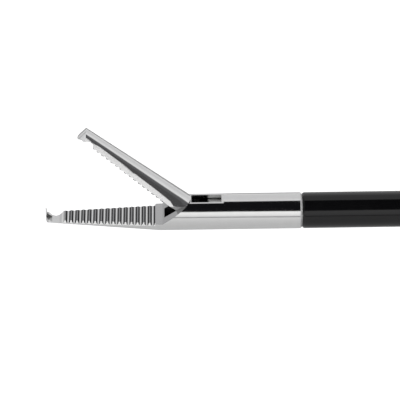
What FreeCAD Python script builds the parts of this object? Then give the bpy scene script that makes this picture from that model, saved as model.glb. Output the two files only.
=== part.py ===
"""Laparoscopic grasper: ring handle, insulated 5 mm shaft, one moving serrated jaw with a hook at its tip.

X runs along the shaft with the jaws towards -X, Z is up and Y is the axis of the jaw pivot.
The origin lies on the shaft axis where the insulated sleeve begins, just behind the jaw housing.
Millimetres and degrees. The rest pose has the jaws open and the thumb ring back.
"""
import FreeCAD, Part
import Sketcher
import math
import os
import re

SIZES = {
    # Shaft
    "shaft_r": 2.5,
    "sleeve_wall": 0.35,
    "sleeve_len": 290.0,
    "sleeve_step": 0.2,
    "sleeve_edge": 0.25,
    "tube_wall": 0.4,
    "tube_stub": 24.0,
    "slip": 0.02,
    "run_fit": 0.04,
    "side_gap": 0.05,
    # Jaw housing and fixed lower jaw
    "housing_len": 15.7,
    "housing_chamfer": 0.3,
    "spigot_len": 6.0,
    "chamber_r": 1.95,
    "chamber_start": 1.5,
    "chamber_end": 11.0,
    "jaw_root": 4.0,
    "jaw_len": 19.9,
    "face_z": -0.3,
    "lower_tip_r": 1.5,
    "lower_tip_rise": 0.45,
    "nose_r": 1.6,
    "chin_r": 0.5,
    "rim_bevel": 0.4,
    "bevel_start": 4.7,
    "scoop_r": 1.42,
    "scoop_back": 1.45,
    "scoop_z": 0.46,
    "tooth_pocket_len": 0.65,
    "tooth_pocket_width": 1.25,
    "tooth_pocket_z": -0.95,
    "claw_wall": 0.2,
    "claw_clear": 0.16,
    "claw_height": 0.96,
    "claw_edge": 0.12,
    "claw_point": 0.15,
    "claw_root": 0.8,
    "claw_root_len": 2.2,
    "slot_width": 2.1,
    "slot_front": 3.4,
    "slot_floor": 1.95,
    "mouth_front": 3.7,
    "flat_z": 2.23,
    "flat_len": 4.8,
    "window_width": 1.73,
    "window_front": 0.32,
    "window_slope": 1.3,
    "slot_roof": 1.55,
    "window_rear": 4.5,
    "serration_r": 0.31,
    "serration_back": 3.11,
    "serration_root": 5.065,
    "serration_count": 15,
    # Moving upper jaw
    "jaw_angle": 43.2,
    "pivot_z": 0.5,
    "jaw_pin_r": 0.55,
    "jaw_pin_bite": 0.8,
    "hub_r": 0.95,
    "face_gap": 0.1,
    "mouth_clear": 0.09,
    "upper_root_r": 2.15,
    "upper_tip_r": 1.4,
    "upper_tip_drop": 0.4,
    "upper_rim_bevel": 0.3,
    "upper_claw_z": -0.87,
    "upper_notch_r": 0.95,
    "upper_notch_back": 1.85,
    "upper_notch_z": -0.5,
    "tang_front": 4.4,
    "neck_relief": 0.3,
    # Links and rod end
    "crank_r": 1.65,
    "link_pin_r": 0.35,
    "link_eye_r": 0.6,
    "link_rear_eye_r": 0.72,
    "link_rear_gap": 0.16,
    "link_thick": 0.5,
    "link_run": 2.37,
    "link_rise": 0.43,
    "tongue_thick": 0.9,
    "rod_r": 0.9,
    "rod_bore_gap": 0.2,
    "rod_tip_r": 1.55,
    "rod_tip_len": 4.6,
    "rod_tip_lead": 0.85,
    "rod_spigot_r": 0.6,
    "rod_spigot_len": 2.5,
    # Flush port
    "port_gap": 9.0,
    "flush_collar_len": 12.0,
    "flush_collar_r": 4.5,
    "nipple_r": 2.1,
    "nipple_len": 10.0,
    "nipple_bore_r": 1.1,
    "cap_len": 7.0,
    # Rotation knob and its hub
    "hub_lap": 3.0,
    "hub_stub": 11.5,
    "hub_front_r": 6.0,
    "journal_r": 4.0,
    "clip_gap": 0.2,
    "clip_thick": 1.0,
    "clip_groove_r": 3.3,
    "clip_r": 5.0,
    "knob_len": 25.0,
    "knob_gap": 1.0,
    "knob_r": 11.0,
    "knob_nose_r": 5.0,
    "knob_flutes": 8,
    "knob_flute_r": 4.0,
    "knob_flute_depth": 1.6,
    "grub_back": 9.0,
    "grub_r": 1.25,
    "grub_len": 3.5,
    # Ring handle
    "frame_gap": 19.0,
    "frame_len": 52.0,
    "frame_nose": 8.5,
    "bush_len": 8.0,
    "bush_r": 5.6,
    "frame_half": 8.0,
    "frame_edge_round": 2.0,
    "frame_top": 11.0,
    "frame_bottom": 12.0,
    "cavity_half": 5.2,
    "cavity_wall": 8.0,
    "cavity_top": 8.0,
    "cavity_drop": 7.0,
    "loop_back": 7.0,
    "loop_z": -55.5,
    "loop_half_width": 15.0,
    "loop_half_height": 27.5,
    "loop_wire_r": 4.0,
    "arm_width": 12.0,
    "screw_r": 1.0,
    "screw_head_r": 1.9,
    "screw_head_len": 1.5,
    "screw_len": 13.5,
    # Thumb lever
    "lever_back": 29.0,
    "ball_offset": 4.5,
    "ball_r": 2.0,
    "ball_gap": 0.1,
    "neck_gap": 0.4,
    "lever_half": 3.0,
    "lever_head_r": 6.0,
    "lever_pin_r": 1.6,
    "lever_arm_width": 9.0,
    "thumb_x": 31.0,
    "thumb_z": -64.0,
    "thumb_half_width": 16.0,
    "thumb_half_height": 18.0,
    "thumb_wire_r": 4.0,
    # Cautery post
    "post_r": 2.0,
    "post_root_r": 2.6,
    "post_len": 20.0,
    "post_boss_len": 8.0,
    "post_front": 10.0,
    "post_z": 6.0,
    "post_tilt": 40.0,
}
SCREW_SPOTS = [("frame_start + 11", "-frame_bottom + 1"), ("frame_end - 4.5", "-6"),
               ("loop_x", "-frame_bottom - 9")]

# Places along the shaft that follow from the sizes above
PLACES = {
    "serration_first": "jaw_len - serration_back",
    "serration_pitch": "(serration_first - serration_root) / (serration_count - 1)",
    "upper_reach": "jaw_len - claw_wall - claw_clear",
    "upper_notch_x": "jaw_len - upper_notch_back",
    "tube_len": "sleeve_len + tube_stub",
    "frame_start": "sleeve_len + frame_gap",
    "frame_end": "frame_start + frame_len",
    "cavity_end": "frame_end - cavity_wall",
    "loop_x": "frame_start + loop_back",
    "lever_x": "frame_start + lever_back",
    "post_x": "frame_end - post_front",
    "knob_end": "frame_start - knob_gap",
    "knob_start": "knob_end - knob_len",
    "grub_x": "frame_start - grub_back",
    "flush_collar_start": "knob_start - port_gap - flush_collar_len",
    "hub_start": "sleeve_len - hub_lap",
    "journal_start": "frame_start - 0.3",
    "clip_x": "frame_start + bush_len + clip_gap",
    "hub_end": "frame_start + hub_stub",
}
# Formulas in size names that several pieces share
CRANK_X = "crank_r * sin(jaw_angle / 2)"
CRANK_Z = "crank_r * cos(jaw_angle / 2)"
TRAVEL = "2 * crank_r * sin(jaw_angle / 2)"
LEVER_TILT = "(asin(crank_r * sin(jaw_angle / 2) / ball_offset) / (1 deg))"
MOUTH_ANGLE = "(atan((flat_z - face_z) / mouth_front) / (1 deg))"
SEAT_R = "(shaft_r - sleeve_step)"
TUBE_R = "shaft_r - sleeve_wall - slip"
TUBE_BORE = "shaft_r - sleeve_wall - slip - tube_wall"
PIVOT_X = "-housing_len"
TANG_THICK = "slot_width - 2 * side_gap"
LINK_Y = "tongue_thick / 2 + side_gap"

DOC = FreeCAD.newDocument("grasper")
SHEET = DOC.addObject("Spreadsheet::Sheet", "sizes")
WORDS = re.compile(r"[a-z_][a-z_0-9]*")
PIECES = []


def fill_sheet():
    """Write each driving size into the sheet, one row each, with its name as the alias."""
    for row, (name, size) in enumerate(SIZES.items(), start=1):
        SHEET.set("A%d" % row, name)
        SHEET.set("B%d" % row, str(size))
        SHEET.setAlias("B%d" % row, name)
    DOC.recompute()


def spell_out(text):
    """Put a place's own formula where a formula names the place."""
    def own_formula(word):
        name = word.group()
        return "(%s)" % spell_out(PLACES[name]) if name in PLACES else name
    return WORDS.sub(own_formula, str(text))


def formula(text):
    """Turn a formula in size names into an expression that reads the sheet."""
    plain = spell_out(text)
    return WORDS.sub(lambda word: ("sizes." if word.group() in SIZES else "") + word.group(), plain)


def number(text):
    """Work out a formula in size names as a plain number."""
    result = SHEET.evalExpression(spell_out(text))
    return float(getattr(result, "Value", result))


def bind(item, **sizes):
    """Bind properties of an object to formulas in size names."""
    for name, text in sizes.items():
        item.setExpression(name, formula(text))


def place(item, x="0", y="0", z="0", axis=None, angle=None):
    """Bind an object's place, and its turn about an axis, to formulas in size names."""
    if axis:
        rotation = FreeCAD.Rotation(FreeCAD.Vector(*axis), number(angle))
        item.Placement = FreeCAD.Placement(FreeCAD.Vector(), rotation)
        item.setExpression("Placement.Rotation.Angle", formula(angle))
    item.setExpression("Placement.Base.x", formula(x))
    item.setExpression("Placement.Base.y", formula(y))
    item.setExpression("Placement.Base.z", formula(z))


def new_body(name):
    """Start a sub-part whose label names its file."""
    body = DOC.addObject("PartDesign::Body", name)
    body.Label = name
    PIECES.append(body)
    return body


def new_sketch(body, name, plane, offset="0"):
    """Attach a sketch to one of the body's own origin planes, moved along the plane's normal."""
    sketch = body.newObject("Sketcher::SketchObject", body.Name + "_" + name)
    origin_plane = [item for item in body.Origin.OriginFeatures if item.Role == plane][0]
    sketch.AttachmentSupport = [(origin_plane, "")]
    sketch.MapMode = "FlatFace"
    sketch.setExpression("AttachmentOffset.Base.z", formula(offset))
    return sketch


def pin_point(sketch, geometry, vertex, across, up):
    """Hold one vertex of a sketch at formulas for its two coordinates."""
    for kind, text in (("DistanceX", across), ("DistanceY", up)):
        index = sketch.addConstraint(Sketcher.Constraint(kind, geometry, vertex, number(text)))
        sketch.setExpression("Constraints[%d]" % index, formula(text))


def middle_of_arc(start, end, centre, clockwise):
    """Find the middle point of an arc between two points around a centre."""
    first = math.atan2(start.y - centre.y, start.x - centre.x)
    last = math.atan2(end.y - centre.y, end.x - centre.x)
    if clockwise and last >= first:
        last -= 2 * math.pi
    if not clockwise and last <= first:
        last += 2 * math.pi
    middle = (first + last) / 2
    radius = start.distanceToPoint(centre)
    return centre + FreeCAD.Vector(radius * math.cos(middle), radius * math.sin(middle), 0)


def draw_outline(sketch, points, arcs=None):
    """Draw a closed outline through points given as pairs of formulas.

    Each side runs from its point to the next. A side listed in arcs is an arc around the centre
    given there as (across, up, clockwise); the others are straight.
    """
    arcs = arcs or {}
    spots = [FreeCAD.Vector(number(across), number(up), 0) for across, up in points]
    count = len(spots)
    ends = []
    for index in range(count):
        start, end = spots[index], spots[(index + 1) % count]
        if index not in arcs:
            side = sketch.addGeometry(Part.LineSegment(start, end))
            ends.append((side, 1, 2))
            continue
        across, up, clockwise = arcs[index]
        centre = FreeCAD.Vector(number(across), number(up), 0)
        side = sketch.addGeometry(Part.Arc(start, middle_of_arc(start, end, centre, clockwise), end))
        ends.append((side, 2, 1) if clockwise else (side, 1, 2))
    for index, (side, start_vertex, end_vertex) in enumerate(ends):
        following = ends[(index + 1) % count]
        sketch.addConstraint(Sketcher.Constraint("Coincident", side, end_vertex, following[0], following[1]))
        pin_point(sketch, side, start_vertex, *points[index])
    for index, (across, up, clockwise) in arcs.items():
        chord = spots[(index + 1) % count] - spots[index]
        kind, text = ("DistanceX", across) if abs(chord.y) > abs(chord.x) else ("DistanceY", up)
        held = sketch.addConstraint(Sketcher.Constraint(kind, ends[index][0], 3, number(text)))
        sketch.setExpression("Constraints[%d]" % held, formula(text))


def draw_circle(sketch, across, up, radius):
    """Draw a circle held by formulas for its centre and radius."""
    centre = FreeCAD.Vector(number(across), number(up), 0)
    circle = sketch.addGeometry(Part.Circle(centre, FreeCAD.Vector(0, 0, 1), number(radius)))
    pin_point(sketch, circle, 3, across, up)
    index = sketch.addConstraint(Sketcher.Constraint("Radius", circle, number(radius)))
    sketch.setExpression("Constraints[%d]" % index, formula(radius))


def add_feature(body, kind, name, sketch, length=None, symmetric=False, reverse=False):
    """Add a sketch-based feature to a body."""
    feature = body.newObject("PartDesign::" + kind, body.Name + "_" + name)
    feature.Profile = sketch
    if length is not None:
        bind(feature, Length=length)
        feature.SideType = "Symmetric" if symmetric else "One side"
    feature.Reversed = reverse
    return feature


def turn(body, name, points, kind="Revolution", arcs=None):
    """Revolve an outline of (along, radius) points about the body's X axis."""
    sketch = new_sketch(body, name + "_outline", "XZ_Plane")
    draw_outline(sketch, points, arcs)
    feature = body.newObject("PartDesign::" + kind, body.Name + "_" + name)
    feature.Profile = sketch
    feature.ReferenceAxis = (sketch, ["H_Axis"])
    feature.Angle = 360
    return feature


def slab(body, name, points, thickness, kind="Pad", arcs=None):
    """Pad or pocket an outline drawn in the XZ plane, evenly to both sides of it."""
    sketch = new_sketch(body, name + "_outline", "XZ_Plane")
    draw_outline(sketch, points, arcs)
    return add_feature(body, kind, name, sketch, thickness, symmetric=True)


def disc(body, name, across, up, radius, thickness, kind="Pad"):
    """Pad or pocket a circle drawn in the XZ plane, evenly to both sides of it."""
    sketch = new_sketch(body, name + "_outline", "XZ_Plane")
    draw_circle(sketch, across, up, radius)
    return add_feature(body, kind, name, sketch, thickness, symmetric=True)


def turned_piece(name, points, x="0", y="0", z="0", axis=None, angle=None):
    """Make a sub-part that is one turned shape, then put it in place."""
    body = new_body(name)
    turn(body, "turned", points)
    place(body, x, y, z, axis, angle)
    return body


def cross_pin(name, radius, half_length, x, z, y="0"):
    """Make a plain pin along Y with chamfered ends."""
    chamfer = "%s / 5" % radius
    body = new_body(name)
    turn(body, "turned", [
        ("-(%s)" % half_length, "0"),
        ("-(%s)" % half_length, "%s - %s" % (radius, chamfer)),
        ("-(%s) + %s" % (half_length, chamfer), radius),
        ("%s - %s" % (half_length, chamfer), radius),
        (half_length, "%s - %s" % (radius, chamfer)),
        (half_length, "0"),
    ])
    place(body, x, y, z, (0, 0, 1), "90")
    return body


def dress_edges(body, kind, name, choose):
    """Fillet or chamfer the edges of the body's last feature that a test picks."""
    DOC.recompute()
    base = body.Tip
    names = ["Edge%d" % (index + 1) for index, edge in enumerate(base.Shape.Edges) if choose(edge)]
    dressed = body.newObject("PartDesign::" + kind, body.Name + "_" + name)
    dressed.Base = (base, names)
    return dressed


def half_width(radius, off_centre):
    """Formula for half the width of a round bar at a height off its centre."""
    return "sqrt(%s * %s - %s * %s)" % (radius, radius, off_centre, off_centre)


def bevel_rims(body, face, bevel, root, tip, way):
    """Bevel both long rims of a jaw's face, away from it the given way along Z.

    Root and tip are the place along the jaw and the half width of its face there.
    """
    for side, sign in (("left", ""), ("right", "-")):
        sections = []
        for end, (along, width) in (("root", root), ("tip", tip)):
            sketch = new_sketch(body, "%s_rim_%s" % (side, end), "YZ_Plane", along)
            draw_outline(sketch, [
                ("%s(%s - %s - 0.5)" % (sign, width, bevel), "%s - %s0.5" % (face, way)),
                ("%s(%s + 1)" % (sign, width), "%s - %s0.5" % (face, way)),
                ("%s(%s + 1)" % (sign, width), "%s + %s(%s + 1)" % (face, way, bevel)),
            ])
            sections.append(sketch)
        cut = body.newObject("PartDesign::SubtractiveLoft", "%s_%s_rim" % (body.Name, side))
        cut.Profile = sections[0]
        cut.Sections = sections[1:]
        cut.Ruled = True


def serrate(body, face):
    """Cut the row of rounded grooves across a jaw's face."""
    sketch = new_sketch(body, "groove_outlines", "XZ_Plane")
    for index in range(int(number("serration_count"))):
        draw_circle(sketch, "-serration_first + %d * serration_pitch" % index, face, "serration_r")
    return add_feature(body, "Pocket", "grooves", sketch, "4 * shaft_r", symmetric=True)


def round_nose(body, reach):
    """Trim a jaw's tip to a half-round nose, seen from above."""
    sketch = new_sketch(body, "nose_outline", "XY_Plane")
    centre_x = "-(%s) + nose_r" % reach
    draw_outline(sketch, [
        (centre_x, "nose_r"),
        (centre_x, "-nose_r"),
        (centre_x, "-2 * shaft_r"),
        ("-2 * jaw_len", "-2 * shaft_r"),
        ("-2 * jaw_len", "2 * shaft_r"),
        (centre_x, "2 * shaft_r"),
    ], {0: (centre_x, "0", False)})
    return add_feature(body, "Pocket", "nose", sketch, "8 * shaft_r", symmetric=True)


def sharpen_claw(body, root_z, tip_z, beyond_z):
    """Taper the claw at a jaw's tip to a point, seen from the front."""
    sketch = new_sketch(body, "claw_outline", "YZ_Plane", "-jaw_len - 0.5")
    for side in ("", "-"):
        draw_outline(sketch, [
            (side + "claw_root", root_z),
            (side + "claw_point", tip_z),
            (side + "claw_point", beyond_z),
            (side + "2 * shaft_r", beyond_z),
            (side + "2 * shaft_r", root_z),
        ])
    return add_feature(body, "Pocket", "claw_sides", sketch, "claw_root_len + 0.5", reverse=True)


def loft_jaw(body, root_x, root_r, root_z, tip_x, tip_r, tip_z):
    """Loft a tapering round bar from a jaw's root to its tip."""
    sections = []
    for name, along, radius, up in (("root", root_x, root_r, root_z), ("tip", tip_x, tip_r, tip_z)):
        sketch = new_sketch(body, name + "_section", "YZ_Plane", along)
        draw_circle(sketch, "0", up, radius)
        sections.append(sketch)
    loft = body.newObject("PartDesign::AdditiveLoft", body.Name + "_loft")
    loft.Profile = sections[0]
    loft.Sections = sections[1:]
    loft.Ruled = True
    return loft


def make_jaw_housing():
    """Jaw housing and fixed lower jaw: one turned and milled piece with a spigot for the shaft tube."""
    body = new_body("jaw_housing")
    turn(body, "barrel", [
        ("-jaw_root", "0"),
        ("-jaw_root", "shaft_r"),
        ("housing_len - housing_chamfer", "shaft_r"),
        ("housing_len", "shaft_r - housing_chamfer"),
        ("housing_len", TUBE_BORE + " - slip"),
        ("housing_len + spigot_len", TUBE_BORE + " - slip"),
        ("housing_len + spigot_len", "rod_r + rod_bore_gap"),
        ("chamber_end", "rod_r + rod_bore_gap"),
        ("chamber_end", "chamber_r"),
        ("chamber_start", "chamber_r"),
        ("chamber_start", "0"),
    ])
    loft_jaw(body, "-jaw_root", "shaft_r", "0", "-jaw_len - 0.5", "lower_tip_r", "lower_tip_rise")
    scoop_wall_z = "scoop_z - %s" % half_width("scoop_r", "(scoop_back - claw_wall)")
    slab(body, "mouth", [
        ("-2 * jaw_len", "claw_height"),
        ("-jaw_len + claw_edge", "claw_height"),
        ("-jaw_len + claw_wall", scoop_wall_z),
        ("-jaw_len + scoop_back + %s" % half_width("scoop_r", "(scoop_z - face_z)"), "face_z"),
        ("-mouth_front", "face_z"),
        ("0", "flat_z"),
        ("flat_len", "flat_z"),
        ("flat_len", "2 * shaft_r"),
        ("-2 * jaw_len", "2 * shaft_r"),
    ], "4 * shaft_r", "Pocket", {2: ("-jaw_len + scoop_back", "scoop_z", False)})
    slab(body, "tooth_pocket", [
        ("-jaw_len + claw_wall", "tooth_pocket_z"),
        ("-jaw_len + claw_wall + tooth_pocket_len", "tooth_pocket_z"),
        ("-jaw_len + claw_wall + tooth_pocket_len", "0"),
        ("-jaw_len + claw_wall", "0"),
    ], "tooth_pocket_width", "Pocket")
    bevel_rims(body, "face_z", "rim_bevel", ("-bevel_start", half_width("shaft_r", "face_z") + " - 0.03"),
               ("-jaw_len - 0.5", half_width("lower_tip_r", "(lower_tip_rise - face_z)")), "-")
    chin = "(lower_tip_rise - lower_tip_r)"
    slab(body, "chin", [
        ("-jaw_len", chin + " + chin_r"),
        ("-jaw_len + chin_r", chin),
        ("-jaw_len + chin_r", "-2 * shaft_r"),
        ("-2 * jaw_len", "-2 * shaft_r"),
        ("-2 * jaw_len", chin + " + chin_r"),
    ], "4 * shaft_r", "Pocket", {0: ("-jaw_len + chin_r", chin + " + chin_r", False)})
    round_nose(body, "jaw_len")
    sharpen_claw(body, "face_z + 0.25", "claw_height", "shaft_r")
    slab(body, "slot", [
        ("-slot_front", "-slot_floor"),
        ("chamber_start + 0.5", "-slot_floor"),
        ("chamber_start + 0.5", "slot_roof"),
        ("0", "slot_roof"),
        ("-0.4", "chamber_r"),
        ("-slot_front", "chamber_r"),
    ], "slot_width", "Pocket")
    slab(body, "window", [
        ("window_front + window_slope", "0"),
        ("window_rear", "0"),
        ("window_rear", "2 * shaft_r"),
        ("window_front + window_slope - window_slope * 2 * shaft_r / flat_z", "2 * shaft_r"),
    ], "window_width", "Pocket")
    hole = new_sketch(body, "pin_hole_outline", "XZ_Plane", "slot_width / 2 + jaw_pin_bite")
    draw_circle(hole, "0", "pivot_z", "jaw_pin_r + slip")
    add_feature(body, "Pocket", "pin_hole", hole, "3 * shaft_r")
    serrate(body, "face_z")
    place(body, PIVOT_X)


def make_upper_jaw():
    """Moving jaw, drawn closed about its pivot and then turned open: blade, tang, hub and crank."""
    face = "face_z + face_gap - pivot_z"
    radius = "((flat_z - pivot_z) * cos(%s) + mouth_clear)" % MOUTH_ANGLE
    heel = "(%s) / cos(jaw_angle / 2)" % radius
    heel_angle = "(%s + jaw_angle / 2)" % MOUTH_ANGLE
    open_angle = "(%s + jaw_angle)" % MOUTH_ANGLE
    heel_x = "-%s * sin(%s)" % (heel, heel_angle)
    heel_z = "%s * cos(%s)" % (heel, heel_angle)
    body = new_body("upper_jaw")
    blade = body.newObject("PartDesign::AdditiveCone", "upper_jaw_blade")
    bind(blade, Radius1="upper_root_r", Radius2="upper_tip_r", Height="jaw_len - 0.5")
    place(blade, "-0.5", "0", "-pivot_z", (0, 1, 0), "-90 - atan(upper_tip_drop / jaw_len) / (1 deg)")
    slab(body, "underside", [
        ("-2 * jaw_len", face),
        ("((%s) * cos(%s) - %s) / sin(%s)" % (face, MOUTH_ANGLE, radius, MOUTH_ANGLE), face),
        (heel_x, heel_z),
        ("(2 * shaft_r * cos(%s) - %s) / sin(%s)" % (open_angle, radius, open_angle), "2 * shaft_r"),
        ("2 * shaft_r", "2 * shaft_r"),
        ("2 * shaft_r", "-3 * shaft_r"),
        ("-2 * jaw_len", "-3 * shaft_r"),
    ], "4 * shaft_r", "Pocket")
    bevel_rims(body, face, "upper_rim_bevel", ("-0.5", half_width("upper_root_r", "(face_z + face_gap)")),
               ("-jaw_len", half_width("upper_tip_r", "(face_z + face_gap + upper_tip_drop)")), "")
    slab(body, "tang", [
        ("-tang_front", face + " + neck_relief"),
        ("-tang_front", face + " + 3 * neck_relief"),
        (heel_x + " - neck_relief", heel_z + " - neck_relief"),
        ("-hub_r / 2", "hub_r * 0.82"),
        ("0", "0"),
        ("-hub_r / 2", "-hub_r * 0.82"),
        ("-slot_front + side_gap", face + " - neck_relief"),
        ("-slot_front + side_gap", face + " + neck_relief"),
    ], TANG_THICK)
    disc(body, "hub", "0", "0", "hub_r", TANG_THICK)
    slab(body, "crank", [
        ("-link_eye_r", "0"),
        (CRANK_X + " - link_eye_r", "-(" + CRANK_Z + ")"),
        (CRANK_X + " + link_eye_r", "-(" + CRANK_Z + ")"),
        ("link_eye_r", "0"),
    ], "tongue_thick")
    disc(body, "crank_eye", CRANK_X, "-(" + CRANK_Z + ")", "link_eye_r", "tongue_thick")
    claw_tip = "upper_claw_z - pivot_z"
    slab(body, "claw", [
        ("-upper_reach", face + " + 0.4"),
        ("-upper_reach", claw_tip + " + 0.3"),
        ("-upper_reach + 0.1", claw_tip),
        ("-upper_reach + 0.25", claw_tip),
        ("-upper_reach + 0.6", face),
        ("-upper_reach + 0.6", face + " + 0.4"),
    ], "4 * shaft_r")
    disc(body, "notch", "-upper_notch_x", "upper_notch_z - pivot_z", "upper_notch_r", "4 * shaft_r",
         "Pocket")
    round_nose(body, "upper_reach")
    sharpen_claw(body, face, claw_tip, "-shaft_r - pivot_z")
    serrate(body, face)
    disc(body, "pivot_hole", "0", "0", "jaw_pin_r + run_fit", "4 * shaft_r", "Pocket")
    disc(body, "crank_hole", CRANK_X, "-(" + CRANK_Z + ")", "link_pin_r + slip", "4 * shaft_r", "Pocket")
    place(body, PIVOT_X, "0", "pivot_z", (0, 1, 0), "jaw_angle")


def make_links():
    """Two flat links that carry the rod's push and pull to the jaw's crank."""
    for name, side in (("jaw_link_left", 1), ("jaw_link_right", -1)):
        body = new_body(name)
        slab(body, "bar", [
            ("0", "-link_eye_r + 0.1"),
            ("link_run", "link_rise - link_eye_r + 0.1"),
            ("link_run", "link_rise + link_eye_r - 0.15"),
            ("0", "link_eye_r - 0.15"),
        ], "link_thick")
        disc(body, "front_eye", "0", "0", "link_eye_r", "link_thick")
        disc(body, "rear_eye", "link_run", "link_rise", "link_rear_eye_r", "link_thick")
        disc(body, "front_hole", "0", "0", "link_pin_r + run_fit", "4 * shaft_r", "Pocket")
        disc(body, "rear_hole", "link_run", "link_rise", "link_pin_r + link_rear_gap", "4 * shaft_r",
             "Pocket")
        place(body, "%s - %s" % (PIVOT_X, CRANK_X), "%d * (%s + link_thick / 2)" % (side, LINK_Y),
              "pivot_z - " + CRANK_Z)


def make_rod_tip():
    """Rod end: a round block with a flat tongue that the links straddle."""
    tongue_z = "pivot_z - %s + link_rise" % CRANK_Z
    body = new_body("rod_tip")
    turn(body, "block", [
        ("rod_tip_lead", "0"),
        ("rod_tip_lead", "rod_tip_r - 0.25"),
        ("rod_tip_lead + 0.25", "rod_tip_r"),
        ("rod_tip_len - 0.4", "rod_tip_r"),
        ("rod_tip_len", "rod_r"),
        ("rod_tip_len + rod_spigot_len", "rod_r"),
        ("rod_tip_len + rod_spigot_len", "rod_spigot_r + slip"),
        ("rod_tip_len", "rod_spigot_r + slip"),
        ("rod_tip_len", "0"),
    ])
    slab(body, "tongue", [
        ("0", tongue_z + " - link_eye_r"),
        ("rod_tip_lead + 0.5", tongue_z + " - link_eye_r"),
        ("rod_tip_lead + 0.5", tongue_z + " + link_eye_r + 0.6"),
        ("0", tongue_z + " + link_eye_r"),
    ], "tongue_thick")
    disc(body, "tongue_eye", "0", tongue_z, "link_eye_r", "tongue_thick")
    disc(body, "pin_hole", "0", tongue_z, "link_pin_r + slip", "4 * shaft_r", "Pocket")
    place(body, "%s - %s + link_run" % (PIVOT_X, CRANK_X))


def make_small_pins():
    """Jaw pivot pin and the two link pins."""
    crank_z = "pivot_z - " + CRANK_Z
    near_end = "(slot_width / 2 + jaw_pin_bite - slip)"
    cross_pin("jaw_pivot_pin", "jaw_pin_r", "(shaft_r - 0.3 + %s) / 2" % near_end, PIVOT_X, "pivot_z",
              "(shaft_r - 0.3 - %s) / 2" % near_end)
    cross_pin("crank_pin", "link_pin_r", "slot_width / 2 - side_gap",
              "%s - %s" % (PIVOT_X, CRANK_X), crank_z)
    cross_pin("rod_tip_pin", "link_pin_r", "slot_width / 2 - side_gap",
              "%s - %s + link_run" % (PIVOT_X, CRANK_X), crank_z + " + link_rise")


def make_shaft():
    """Steel tube, insulating sleeve over it and the pull rod inside it."""
    turned_piece("shaft_tube", [
        ("0", TUBE_BORE),
        ("0", TUBE_R),
        ("tube_len", TUBE_R),
        ("tube_len", TUBE_BORE),
    ])
    turned_piece("insulation_sleeve", [
        ("0", "shaft_r - sleeve_wall"),
        ("0", "shaft_r - sleeve_edge / 2"),
        ("sleeve_edge", "shaft_r"),
        ("flush_collar_start", "shaft_r"),
        ("flush_collar_start", SEAT_R),
        ("sleeve_len", SEAT_R),
        ("sleeve_len", "shaft_r - sleeve_wall"),
    ])
    rod_start = "%s - %s + link_run + rod_tip_len" % (PIVOT_X, CRANK_X)
    ball_x = "lever_x - " + CRANK_X
    turned_piece("pull_rod", [
        (rod_start + " + slip", "0"),
        (rod_start + " + slip", "rod_spigot_r"),
        (rod_start + " + rod_spigot_len + slip", "rod_spigot_r"),
        (rod_start + " + rod_spigot_len + slip", "rod_r"),
        (ball_x + " - ball_r - 1.5", "rod_r"),
        (ball_x + " - ball_r - 1.5", "rod_spigot_r"),
        (ball_x + " - 0.5", "rod_spigot_r"),
        (ball_x + " - 0.5", "0"),
    ])


def make_rod_ball():
    """Ball end that is screwed on the pull rod and sits in the thumb lever."""
    body = new_body("rod_ball")
    turn(body, "turned", [
        ("ball_r", "0"),
        ("-0.45", "0"),
        ("-0.45", "rod_spigot_r + slip"),
        ("-ball_r - 1.5", "rod_spigot_r + slip"),
        ("-ball_r - 1.5", "rod_r"),
        ("-sqrt(ball_r * ball_r - rod_r * rod_r)", "rod_r"),
    ], arcs={5: ("0", "0", True)})
    place(body, "lever_x - " + CRANK_X)


def draw_stadium(sketch, across, up, half_width, half_height):
    """Draw an upright oval: two half circles joined by straight sides."""
    low = "%s - %s + %s" % (up, half_height, half_width)
    high = "%s + %s - %s" % (up, half_height, half_width)
    draw_outline(sketch, [
        ("%s + %s" % (across, half_width), low),
        ("%s + %s" % (across, half_width), high),
        ("%s - %s" % (across, half_width), high),
        ("%s - %s" % (across, half_width), low),
    ], {1: (across, high, False), 3: (across, low, False)})


def add_loop(body, name, across, up, half_width, half_height, wire_r):
    """Sweep a round bar along an upright oval to make a finger or thumb loop."""
    path = new_sketch(body, name + "_path", "XZ_Plane")
    draw_stadium(path, across, up, half_width, half_height)
    section = new_sketch(body, name + "_section", "XY_Plane", up)
    draw_circle(section, "%s + %s" % (across, half_width), "0", wire_r)
    pipe = body.newObject("PartDesign::AdditivePipe", body.Name + "_" + name)
    pipe.Profile = section
    pipe.Spine = (path, ["Edge1", "Edge2", "Edge3", "Edge4"])
    return pipe


def add_cylinder(body, name, kind, radius, height, x, z, tilt, start):
    """Add or cut a cylinder in the XZ plane, tilted back from upright, starting part-way along its axis."""
    item = body.newObject("PartDesign::%sCylinder" % kind, body.Name + "_" + name)
    bind(item, Radius=radius, Height=height)
    place(item, "%s + (%s) * sin(%s)" % (x, start, tilt), "0", "%s + (%s) * cos(%s)" % (z, start, tilt),
          (0, 1, 0), tilt)
    return item


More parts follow.
